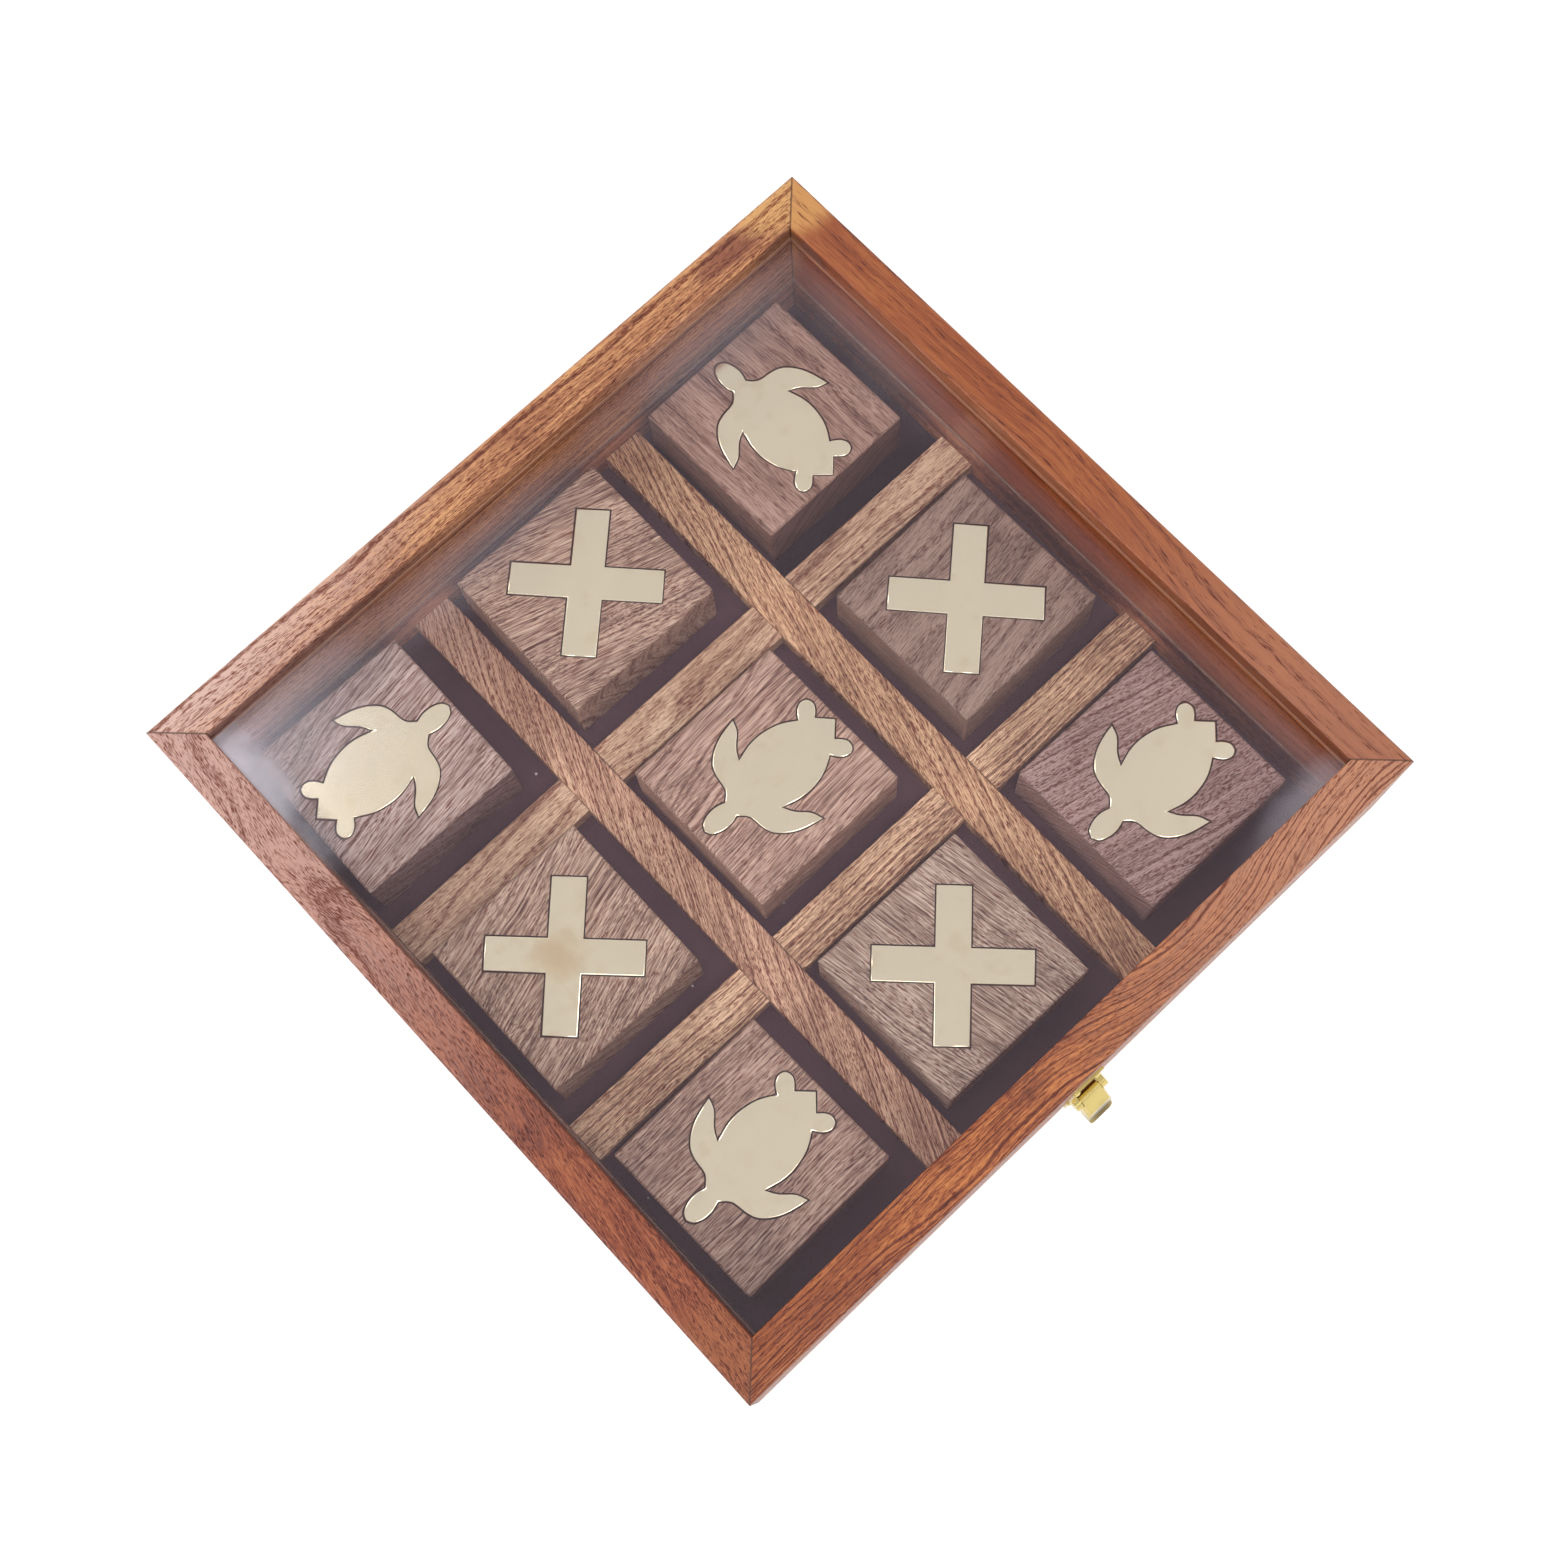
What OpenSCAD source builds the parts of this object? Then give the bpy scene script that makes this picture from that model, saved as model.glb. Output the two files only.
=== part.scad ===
// Square wooden box with a game of noughts and crosses in it. A tray holds
// nine loose blocks between half-lapped dividers, each block with a brass
// figure let into its top: a turtle or a cross. A mitred lid with a glass
// panel is hinged at the back and closes with a small brass hasp in front.
// Z is up and the hasp side faces -Y. The origin is the middle of the underside.

/* [Case] */
// Outer width and depth of the closed case
case_side = 203; // [190:1:240]
// Thickness of the four tray walls
tray_wall = 10.4; // [9:0.2:12]
// Height of the tray, from its underside to its rim
tray_h = 17; // [14:0.5:24]
// Thickness of the four lid rails
rail_w = 10; // [9:0.2:12]
// Height of the lid, from the tray's rim to the top of the rails
lid_h = 27.5; // [24:0.5:36]
// Radius of the eased outer edges of tray and lid
case_ease = 1; // [0.5:0.25:2]
// Radius of the eased edge along the inside of the lid's top
opening_ease = 0.5; // [0.25:0.25:1.5]

/* [Base] */
// Thickness of the base board
base_t = 4; // [3:0.5:6]
// How far the base board reaches into the rebate of each wall
base_lap = 5; // [3:0.5:7]
// Thickness of the dark lining on the base board
lining_t = 0.8; // [0.5:0.1:1.5]

/* [Glass] */
// Thickness of the glass panel
glass_t = 3; // [2:0.5:4]
// Depth of the glass panel's upper face below the top of the rails
glass_depth = 5.5; // [4:0.5:9]
// Depth of the groove that holds the panel, into each rail
groove_d = 3; // [2:0.5:5]

/* [Dividers] */
// Width of the divider strips
divider_w = 10.8; // [8:0.2:12]
// Height of the divider strips above the lining
divider_h = 5; // [4:0.5:8]
// Clear width of the middle cell, between two strips
middle_cell = 52.8; // [52:0.2:56]
// Radius of the eased upper edges of the strips
divider_ease = 0.4; // [0.2:0.1:0.8]

/* [Blocks] */
// Width and depth of a block
block_side = 44; // [40:0.5:46]
// Height of a block
block_h = 18.5; // [16:0.5:20]
// Radius of the eased edges of a block
block_ease = 0.7; // [0.3:0.1:1.5]

/* [Brass figures] */
// Thickness of the brass plates
inlay_t = 1.2; // [0.8:0.1:2]
// How far the brass stands above the wood
inlay_proud = 0.1; // [0:0.05:0.3]
// Width of the glue line round each plate
glue_line = 0.25; // [0.1:0.05:0.4]
// Length of a cross, from arm end to arm end
cross_span = 37.5; // [30:0.5:42]
// Width of a cross's arms
cross_arm = 8.4; // [6:0.2:10]
// Distance from a turtle's nose and tail to the block's edges
turtle_margin = 1.5; // [1:0.25:4]

/* [Hinges] */
// Distance of each hinge's middle from the case's side face
hinge_inset = 39.5; // [28:0.5:60]
// Length of a hinge along the back edge
hinge_len = 24; // [20:1:36]
// Thickness of the hinge leaves
leaf_t = 0.9; // [0.7:0.1:1.2]
// How far a leaf reaches in over the rim, from the case's back face
leaf_reach = 7.5; // [6:0.5:8.5]
// Radius of the hinge pins
hinge_pin_r = 0.8; // [0.6:0.1:1]
// Outer radius of the hinge knuckles
hinge_knuckle_r = 1.5; // [1.4:0.1:2]

/* [Latch] */
// Width of the latch's two plates
plate_w = 9.4; // [9:0.2:12]
// Height of the plate on the lid
plate_h = 10.5; // [9:0.5:12]
// Height of the keeper plate on the tray
keeper_h = 8.5; // [8:0.5:10]
// Thickness of the plates and of the hasp
plate_t = 0.7; // [0.5:0.1:0.8]
// Height of the hasp's pin above the tray's rim
hasp_axis_up = 4.8; // [4:0.2:6]
// Radius of the hasp's pin
hasp_pin_r = 0.6; // [0.5:0.05:0.7]
// Outer radius of the hasp's knuckles
hasp_knuckle_r = 1.4; // [1.3:0.05:1.5]
// Width of the hasp's sloping face and of its knuckle
face_w = 5.8; // [5:0.2:6]
// Width of the hasp over its splayed sides
hasp_w = 7; // [6.4:0.2:8]
// How far the sloping face comes forward of the pin
face_out = 3.9; // [3.5:0.1:4.5]
// Height from the pin down to the finger lip
hasp_drop = 7; // [6.5:0.5:9]
// How far the hasp leans out between its face and the lip
hasp_lean = 0.7; // [0.3:0.1:1.5]
// How far the finger lip flares out
lip_out = 0.8; // [0.4:0.1:1.5]
// Height of the finger lip
lip_h = 1.6; // [1:0.2:2.5]
// Width of the keeper's hook
hook_w = 4; // [3:0.2:4.4]

/* [Screws and nails] */
// Radius of a hinge screw's head
screw_head_r = 1.7; // [1.5:0.1:2]
// Radius of a hinge screw's shank
screw_r = 0.9; // [0.7:0.1:1.1]
// Length of a hinge screw below its head
screw_len = 5.5; // [4:0.5:7]
// Radius of a nail's round head
nail_head_r = 0.9; // [0.7:0.1:1.1]
// Height of a nail's round head
nail_head_h = 0.4; // [0.3:0.1:0.6]
// Radius of a nail's shank
nail_r = 0.45; // [0.3:0.05:0.6]
// Length of a nail's shank behind its plate
nail_len = 5; // [3:0.5:6]

/* [Hidden] */
$fn = 48;

// Cutters reach this far past the faces that they cut
over = 1;
// Side gap round a piece that drops into its seat
seat_gap = 0.1;
// Radial play of a knuckle that turns on its pin
turn_play = 0.05;
// Side gap between two knuckles on one pin
knuckle_gap = 0.15;
// Gap between two faces that pass each other
pass_gap = 0.1;

half = case_side / 2;
inside = case_side - 2 * tray_wall;
case_h = tray_h + lid_h;
floor_z = base_t + lining_t;
block_top = floor_z + block_h;
glass_z = case_h - glass_depth - glass_t;
glass_side = case_side - 2 * rail_w + 2 * (groove_d - seat_gap);
divider_at = (middle_cell + divider_w) / 2;
outer_cell = (inside - middle_cell - 2 * divider_w) / 2;
cell_pitch = middle_cell / 2 + divider_w + outer_cell / 2;

// The hinge pins lie behind the back face, level with the rim
hinge_axis_y = half + hinge_knuckle_r + pass_gap;
hinge_x = half - hinge_inset;
hinge_third = hinge_len / 3;
screw_head_h = leaf_t - pass_gap;
screw_spacing = hinge_len / 2;
screw_y = half - leaf_reach / 2;
screw_slot_w = 0.4;

// The hasp's pin lies in front of the lid's plate
hasp_axis_z = tray_h + hasp_axis_up;
hasp_axis_out = plate_t + hasp_knuckle_r;
// The face slopes at 45 degrees and runs into the knuckle's round
tangent = hasp_knuckle_r * sin(45);
hasp_foot = -hasp_drop - lip_h;
hasp_corner_r = 1.2;
// Depth of the hasp's side walls at their lower end
side_wall = 2.5;
// The side walls splay by this much for each unit of depth
splay = 0.5;
// A 45 degree face keeps its thickness when its inside drops by this share of it
slope_drop = tan(22.5);
plate_z = hasp_axis_z + hasp_knuckle_r + pass_gap;
plate_nail_z = plate_z + plate_h / 2;
plate_corner_r = 1;
keeper_z = tray_h - pass_gap - keeper_h;
// Height of the keeper's nails above its lower edge
keeper_nail_up = 2.5;
keeper_nail_z = keeper_z + keeper_nail_up;
// The keeper's hook ends this far behind the hasp's face
hook_gap = 0.4;
// Depth of the hook's upper face below the tray's rim
hook_drop = 0.7;
hook_z = tray_h - hook_drop;
hook_out = hasp_axis_out + face_out - plate_t - hook_gap;
hook_down = 2.4;
// Width of a plate's edge beside a nail's head
nail_edge = 0.7;
nail_side = plate_w / 2 - nail_head_r - nail_edge;

// Every piece of a figure's outline is drawn with this many steps between two points
curve_steps = 3;

// Half a turtle from nose to tail, as runs that are smooth in themselves and
// meet in corners: head, front flipper out and back, shell, hind flipper, tail.
// The spine lies along X and the nose points to -X.
turtle_runs = [
    [[-20.5, 0], [-19.6, 1.7], [-17.2, 2.7], [-14.6, 2.8], [-12.4, 2.2]],
    [[-12.4, 2.2], [-10.3, 4.4], [-9.7, 8.2], [-8.6, 11], [-5.8, 13.5], [-2.2, 15.1], [2.3, 16.1]],
    [[2.3, 16.1], [1.2, 13.2], [-1.5, 10.4], [-3.2, 7.6]],
    [[-3.2, 7.6], [0.6, 8.8], [4.4, 9.1], [8.5, 8.4], [11.3, 7.2], [13.6, 5.7]],
    [[13.6, 5.7], [15, 7.7], [16.9, 8.7], [18.7, 8.1], [19.2, 6.2], [18.3, 4.6], [17.1, 3.5]],
    [[17.1, 3.5], [20.5, 0]]
];
tail_tip = turtle_runs[len(turtle_runs) - 1][1];
turtle_size = (block_side - 2 * turtle_margin) / (tail_tip[0] - turtle_runs[0][0][0]);

// Each block as it lies in its cell: column and row counted from the centre,
// its shift along X and Y as a share of its play there, and its turn, then its
// figure's shift as a share of the turtle's margin, and the figure's turn.
front_left = [[-1, -1], [-0.25, 0.54], 1.3, [0, 0], 0];
front_middle = [[0, -1], [-0.53, 0.47], -0.2, [0, 0], 0];
front_right = [[1, -1], [-0.35, 0.46], -0.3, [-0.2, -0.47], 0];
middle_left = [[-1, 0], [-0.29, 0.26], -0.3, [0, 0], 0];
centre = [[0, 0], [-0.58, 0.14], 0.3, [0.47, -0.53], -2];
middle_right = [[1, 0], [-0.42, -0.02], 1, [-0.27, -0.33], -4];
back_left = [[-1, 1], [-0.5, 0.2], -0.9, [0.33, 0.2], 180];
back_middle = [[0, 1], [-0.49, 0.19], -0.4, [0.6, 0.27], -2];
back_right = [[1, 1], [-0.73, 0.28], 0.7, [-0.27, -0.4], -90];

// A point on the smooth curve from b to c, where a and d are the points beside them
function curve_point(a, b, c, d, t) =
    0.5 * (2 * b + t * (c - a) + t * t * (2 * a - 5 * b + 4 * c - d)
    + t * t * t * (3 * b - a - 3 * c + d));

// The points of one smooth run, without its last point
function run_points(p) =
    let (last = len(p) - 1)
    [for (i = [0 : last - 1], s = [0 : curve_steps - 1])
        curve_point(p[max(i - 1, 0)], p[i], p[i + 1], p[min(i + 2, last)], s / curve_steps)];

// The points of all runs of half a turtle, from its nose to before its tail's tip
function half_turtle() =
    [for (run = turtle_runs, p = (len(run) > 2 ? run_points(run) : [run[0]])) p];

// The whole turtle, nose first and the tail's tip in the middle of the list
function turtle_outline() =
    let (side = half_turtle())
    concat(side, [tail_tip], [for (i = [len(side) - 1 : -1 : 1]) [side[i][0], -side[i][1]]]);

// The unit vector from a to b
function towards(a, b) = (b - a) / norm(b - a);

// The same outline with each side moved out by d, for points that run clockwise
function grown(p, d) =
    let (n = len(p))
    [for (i = [0 : n - 1])
        let (before = towards(p[(i + n - 1) % n], p[i]),
            after = towards(p[i], p[(i + 1) % n]),
            out = [-before[1] - after[1], before[0] + after[0]],
            corner = max(norm(out) / 2, 0.4))
        p[i] + out / norm(out) * d / corner];

// What is outside the quarter circle of radius r in a square corner
module corner_waste(r) {
    difference() {
        translate([-over, -over]) square(r + over);
        translate([r, r]) circle(r);
    }
}

// A rectangle centred on the origin with its corners rounded
module round_rect(size, r) {
    difference() {
        square(size, center = true);
        for (x = [0, 1], y = [0, 1])
            mirror([x, 0]) mirror([0, y]) translate(-size / 2) corner_waste(r);
    }
}

// Moves a piece that is drawn on the front side to another side of the square
module on_side(quarter_turns) {
    rotate([0, 0, 90 * quarter_turns]) children();
}

// Stock of the front side with the section given as Y and Z from the case's
// outer face, cut to 45 degree mitres at both ends
module mitred_side(width, z, height) {
    intersection() {
        translate([-half, -half, 0]) rotate([90, 0, 90]) linear_extrude(case_side) children();
        translate([0, 0, z - over]) linear_extrude(height + 2 * over)
            polygon([
                [-half, -half], [half, -half], [half - width, width - half], [width - half, width - half]
            ]);
    }
}

// One tray wall: eased below on the outside, rebated below on the inside
module tray_wall_stock() {
    mitred_side(tray_wall, 0, tray_h) difference() {
        square([tray_wall, tray_h]);
        corner_waste(case_ease);
        translate([tray_wall - base_lap, -over]) square([base_lap + over, base_t + over]);
    }
}

// One lid rail: eased along both upper edges and grooved for the glass
module rail_stock() {
    mitred_side(rail_w, tray_h, lid_h) translate([0, tray_h]) difference() {
        square([rail_w, lid_h]);
        translate([0, lid_h]) mirror([0, 1]) corner_waste(case_ease);
        translate([rail_w, lid_h]) mirror([1, 0]) mirror([0, 1]) corner_waste(opening_ease);
        translate([rail_w - groove_d, glass_z - tray_h]) square([groove_d + over, glass_t + seat_gap]);
    }
}

// Where the hinge screws stand, in plan
module at_hinge_screws() {
    for (hinge = [-1, 1], side = [-1, 1])
        translate([hinge * hinge_x + side * screw_spacing / 2, screw_y]) children();
}

// The shallow seat of both leaves of one rim, seen from the rim's height
module leaf_seats() {
    for (hinge = [-1, 1])
        translate([hinge * hinge_x - hinge_len / 2 - seat_gap, half - leaf_reach - seat_gap, 0])
            cube([hinge_len + 2 * seat_gap, leaf_reach + seat_gap + over, leaf_t + over]);
}

// The pilot holes of the hinge screws, from the rim down to past their ends
module screw_pilots() {
    depth = leaf_t + screw_len + pass_gap;
    at_hinge_screws() translate([0, 0, -depth]) cylinder(r = screw_r, h = depth + over);
}

// Where the nails of a latch plate stand, seen from the front at height z
module at_nails(z) {
    for (side = [-1, 1])
        translate([side * nail_side, -half, z]) rotate([90, 0, 0]) children();
}

// The hole that a nail makes in the wood
module nail_pilot() {
    translate([0, 0, -nail_len]) cylinder(r = nail_r, h = nail_len + over, $fn = 24);
}

module tray_front_wall() {
    color("sienna") difference() {
        tray_wall_stock();
        at_nails(keeper_nail_z) nail_pilot();
    }
}

module tray_right_wall() {
    color("sienna") on_side(1) tray_wall_stock();
}

module tray_back_wall() {
    color("sienna") difference() {
        on_side(2) tray_wall_stock();
        translate([0, 0, tray_h - leaf_t - pass_gap / 2]) leaf_seats();
        translate([0, 0, tray_h]) screw_pilots();
    }
}

module tray_left_wall() {
    color("sienna") on_side(3) tray_wall_stock();
}

module base_board() {
    side = inside + 2 * (base_lap - seat_gap);
    color("peru") translate([-side / 2, -side / 2, 0]) cube([side, side, base_t]);
}

module floor_lining() {
    side = inside - 2 * seat_gap;
    color("#2e2226") translate([-side / 2, -side / 2, base_t]) cube([side, side, lining_t]);
}

// A divider along Y at x = 0, from wall to wall, with eased upper edges
module divider_stock() {
    length = inside - 2 * seat_gap;
    translate([0, length / 2, floor_z]) rotate([90, 0, 0]) linear_extrude(length) difference() {
        translate([-divider_w / 2, 0]) square([divider_w, divider_h]);
        for (side = [0, 1])
            mirror([side, 0]) translate([-divider_w / 2, divider_h]) mirror([0, 1]) corner_waste(divider_ease);
    }
}

// The half-lap notches of a divider along Y, in its lower or its upper half
module half_laps(upper) {
    notch = divider_w + 2 * seat_gap;
    low = upper ? floor_z + divider_h / 2 : floor_z - over;
    for (side = [-1, 1])
        translate([-divider_w, side * divider_at - notch / 2, low])
            cube([2 * divider_w, notch, divider_h / 2 + over]);
}

// The strips along Y run over those along X
module over_divider() {
    color("#a07850") difference() {
        divider_stock();
        half_laps(false);
    }
}

module under_divider() {
    color("#a07850") rotate([0, 0, 90]) difference() {
        divider_stock();
        half_laps(true);
    }
}

module divider_left() {
    translate([-divider_at, 0, 0]) over_divider();
}

module divider_right() {
    translate([divider_at, 0, 0]) over_divider();
}

module divider_front() {
    translate([0, -divider_at, 0]) under_divider();
}

module divider_back() {
    translate([0, divider_at, 0]) under_divider();
}

module lid_front_rail() {
    color("#a85a38") difference() {
        rail_stock();
        at_nails(plate_nail_z) nail_pilot();
    }
}

module lid_right_rail() {
    color("#a85a38") on_side(1) rail_stock();
}

module lid_back_rail() {
    color("#a85a38") difference() {
        on_side(2) rail_stock();
        translate([0, 0, tray_h + leaf_t + pass_gap / 2]) mirror([0, 0, 1]) leaf_seats();
        translate([0, 0, tray_h]) mirror([0, 0, 1]) screw_pilots();
    }
}

module lid_left_rail() {
    color("#a85a38") on_side(3) rail_stock();
}

module glass_panel() {
    color("lightsteelblue", 0.3) translate([-glass_side / 2, -glass_side / 2, glass_z])
        cube([glass_side, glass_side, glass_t]);
}

// The inside of a hinge screw's head, wide side up at z = 0
module screw_cone() {
    translate([0, 0, -screw_head_h]) cylinder(r1 = screw_r, r2 = screw_head_r, h = screw_head_h);
}

// A length of knuckle along X round the origin, with its pin hole
module knuckle(length, outer_r, hole_r) {
    rotate([0, 90, 0]) difference() {
        cylinder(r = outer_r, h = length, center = true);
        cylinder(r = hole_r, h = length + 2 * over, center = true);
    }
}

// The lower leaf of one hinge, centred on x = 0, without its knuckles
module flat_leaf(x, length, reach) {
    translate([x - length / 2, half - leaf_reach, tray_h - pass_gap / 2 - leaf_t])
        cube([length, leaf_reach + reach, leaf_t]);
}

// Cuts the two screw holes of a leaf whose upper face is at z = 0
module leaf_screw_holes() {
    for (side = [-1, 1])
        translate([side * screw_spacing / 2, screw_y, 0]) {
            screw_cone();
            translate([0, 0, -leaf_t - over]) cylinder(r = screw_r, h = leaf_t + 2 * over);
        }
}

// The tray's leaf has the two outer knuckles, tight on the pin
module tray_leaf() {
    outer = hinge_third - knuckle_gap;
    color("goldenrod") difference() {
        union() {
            flat_leaf(0, hinge_len, 0);
            for (side = [-1, 1]) {
                flat_leaf(side * (hinge_len - outer) / 2, outer, hinge_axis_y - half);
                translate([side * (hinge_len - outer) / 2, hinge_axis_y, tray_h])
                    knuckle(outer, hinge_knuckle_r, hinge_pin_r);
            }
        }
        translate([0, hinge_axis_y, tray_h]) rotate([0, 90, 0])
            cylinder(r = hinge_pin_r, h = hinge_len + over, center = true);
        translate([0, 0, tray_h - pass_gap / 2]) leaf_screw_holes();
    }
}

// The lid's leaf has the middle knuckle, which turns on the pin
module lid_leaf() {
    middle = hinge_third - knuckle_gap;
    hole_r = hinge_pin_r + turn_play;
    color("goldenrod") difference() {
        union() {
            translate([0, 0, 2 * tray_h]) mirror([0, 0, 1]) {
                flat_leaf(0, hinge_len, 0);
                flat_leaf(0, middle, hinge_axis_y - half);
            }
            translate([0, hinge_axis_y, tray_h]) knuckle(middle, hinge_knuckle_r, hole_r);
        }
        translate([0, hinge_axis_y, tray_h]) rotate([0, 90, 0])
            cylinder(r = hole_r, h = middle + over, center = true);
        translate([0, 0, tray_h + pass_gap / 2]) mirror([0, 0, 1]) leaf_screw_holes();
    }
}

module hinge_pin() {
    color("goldenrod") translate([0, hinge_axis_y, tray_h]) rotate([0, 90, 0])
        cylinder(r = hinge_pin_r, h = hinge_len, center = true);
}

module hinge_left_tray_leaf() {
    translate([-hinge_x, 0, 0]) tray_leaf();
}

module hinge_right_tray_leaf() {
    translate([hinge_x, 0, 0]) tray_leaf();
}

module hinge_left_lid_leaf() {
    translate([-hinge_x, 0, 0]) lid_leaf();
}

module hinge_right_lid_leaf() {
    translate([hinge_x, 0, 0]) lid_leaf();
}

module hinge_left_pin() {
    translate([-hinge_x, 0, 0]) hinge_pin();
}

module hinge_right_pin() {
    translate([hinge_x, 0, 0]) hinge_pin();
}

// A countersunk screw with a slotted head, its head's top at z = 0
module hinge_screw() {
    difference() {
        union() {
            screw_cone();
            translate([0, 0, -leaf_t - screw_len])
                cylinder(r = screw_r, h = leaf_t + screw_len - screw_head_h);
        }
        translate([-screw_head_r, -screw_slot_w / 2, -screw_slot_w])
            cube([2 * screw_head_r, screw_slot_w, screw_slot_w + over]);
    }
}

module hinge_tray_screws() {
    color("goldenrod") translate([0, 0, tray_h - pass_gap / 2]) at_hinge_screws() hinge_screw();
}

module hinge_lid_screws() {
    color("goldenrod") translate([0, 0, tray_h + pass_gap / 2]) mirror([0, 0, 1])
        at_hinge_screws() hinge_screw();
}

// A round-headed nail through a latch plate, the wood's face at z = 0
module plate_nail() {
    dome_r = (nail_head_r * nail_head_r + nail_head_h * nail_head_h) / (2 * nail_head_h);
    translate([0, 0, -nail_len]) cylinder(r = nail_r, h = nail_len + plate_t, $fn = 24);
    intersection() {
        translate([0, 0, plate_t]) cylinder(r = nail_head_r, h = nail_head_h);
        translate([0, 0, plate_t + nail_head_h - dome_r]) sphere(dome_r);
    }
}

// A plate with round corners on the front face, its lower edge at height z
module front_plate(z, height) {
    translate([0, -half, z + height / 2]) rotate([90, 0, 0]) linear_extrude(plate_t)
        round_rect([plate_w, height], plate_corner_r);
}

// The plate's two outer knuckles stand in front of it, tight on the pin
module latch_plate() {
    side_w = (plate_w - face_w) / 2 - knuckle_gap;
    color("gold") difference() {
        union() {
            front_plate(plate_z, plate_h);
            for (side = [-1, 1]) translate([side * (plate_w - side_w) / 2, -half, hasp_axis_z]) {
                translate([-side_w / 2, -hasp_axis_out, 0])
                    cube([side_w, hasp_axis_out, plate_z - hasp_axis_z]);
                translate([-side_w / 2, -plate_t, 0])
                    cube([side_w, plate_t, plate_z - hasp_axis_z + plate_corner_r]);
                translate([0, -hasp_axis_out, 0]) knuckle(side_w, hasp_knuckle_r, hasp_pin_r);
            }
        }
        at_hasp_pin() rotate([0, 90, 0]) cylinder(r = hasp_pin_r, h = plate_w + over, center = true);
        at_nails(plate_nail_z) nail_pilot();
    }
}

// The middle of the hasp's pin
module at_hasp_pin() {
    translate([0, -half - hasp_axis_out, hasp_axis_z]) children();
}

module latch_plate_nails() {
    color("gold") at_nails(plate_nail_z) plate_nail();
}

module latch_pin() {
    color("gold") at_hasp_pin() rotate([0, 90, 0]) cylinder(r = hasp_pin_r, h = plate_w, center = true);
}

// Side view of the filled hasp in Y and Z, with its pin at the origin and the
// front at -Y: sloping face, leaning front, finger lip and the side walls' back
module hasp_side_view() {
    lean_out = face_out + hasp_lean;
    polygon([
        [-tangent, tangent], [-face_out, 2 * tangent - face_out], [-lean_out, -hasp_drop],
        [-lean_out - lip_out, hasp_foot], [plate_t - lean_out - lip_out, hasp_foot],
        [side_wall - lean_out, -hasp_drop], [0, -2 * hasp_knuckle_r], [0, 0]
    ]);
}

// The filled hasp, drawn in by inset at its front and on both sides
module hasp_body(inset) {
    wide = hasp_w - 2 * inset;
    deep = hasp_drop;
    face = face_w - 2 * inset;
    translate([0, inset, -slope_drop * inset]) intersection() {
        translate([-wide / 2, 0, 0]) rotate([90, 0, 90]) linear_extrude(wide) hasp_side_view();
        rotate([45, 0, 0]) translate([0, deep, hasp_knuckle_r]) rotate([90, 0, 0]) linear_extrude(3 * deep)
            polygon([
                [-face / 2, 0], [face / 2, 0], [face / 2 + splay * deep, -deep], [-face / 2 - splay * deep, -deep]
            ]);
    }
}

// The hasp is pressed from sheet: a hood over the keeper's hook, with a lip below
module latch_hasp() {
    color("gold") at_hasp_pin() difference() {
        union() {
            intersection() {
                difference() {
                    hasp_body(0);
                    hasp_body(plate_t);
                }
                rotate([90, 0, 0]) linear_extrude(face_out + hasp_lean + lip_out + over)
                    round_rect([hasp_w, -2 * hasp_foot], hasp_corner_r);
            }
            knuckle(face_w, hasp_knuckle_r, hasp_pin_r + turn_play);
        }
        rotate([0, 90, 0]) cylinder(r = hasp_pin_r + turn_play, h = face_w + over, center = true);
        for (side = [-1, 1])
            translate([side * (face_w + plate_w) / 2, 0, 0]) rotate([0, 90, 0])
                cylinder(r = hasp_knuckle_r + pass_gap, h = plate_w, center = true);
    }
}

// The keeper's hook reaches out below the hasp's face and turns down
module latch_keeper() {
    color("gold") difference() {
        union() {
            front_plate(keeper_z, keeper_h);
            translate([-hook_w / 2, -half - hook_out, hook_z - plate_t]) cube([hook_w, hook_out, plate_t]);
            translate([-hook_w / 2, -half - hook_out, hook_z - hook_down]) cube([hook_w, plate_t, hook_down]);
        }
        at_nails(keeper_nail_z) nail_pilot();
    }
}

module latch_keeper_nails() {
    color("gold") at_nails(keeper_nail_z) plate_nail();
}

// The play on each side of a turned block, in a cell of the middle or an outer row
function play(row, turn) =
    let (cell_w = (row == 0 ? middle_cell : outer_cell))
    (cell_w - block_side * (cos(turn) + sin(abs(turn)))) / 2;

// Moves a block's piece to where the block lies in its cell
module in_cell(cell) {
    place = [for (axis = [0, 1]) cell[0][axis] * cell_pitch + cell[1][axis] * play(cell[0][axis], cell[2])];
    translate([place[0], place[1], 0]) rotate([0, 0, cell[2]]) children();
}

// Moves a figure to its place in its block
module in_block(cell) {
    translate(turtle_margin * cell[3]) rotate([0, 0, cell[4]]) children();
}

// A cross with its arms along the block's diagonals, grown on all sides
module cross_figure(grow) {
    for (turn = [-45, 45])
        rotate([0, 0, turn]) square([cross_span + 2 * grow, cross_arm + 2 * grow], center = true);
}

// A turtle from above with its limbs spread, grown on all sides
module turtle_figure(grow) {
    polygon(grown(turtle_size * turtle_outline(), grow));
}

// A block of wood with eased edges, its underside on the lining
module plain_block() {
    mid_z = floor_z + block_h / 2;
    intersection() {
        translate([0, 0, floor_z]) linear_extrude(block_h) round_rect([block_side, block_side], block_ease);
        translate([0, block_side / 2, mid_z]) rotate([90, 0, 0]) linear_extrude(block_side)
            round_rect([block_side, block_h], block_ease);
        translate([-block_side / 2, 0, mid_z]) rotate([90, 0, 90]) linear_extrude(block_side)
            round_rect([block_side, block_h], block_ease);
    }
}

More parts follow.
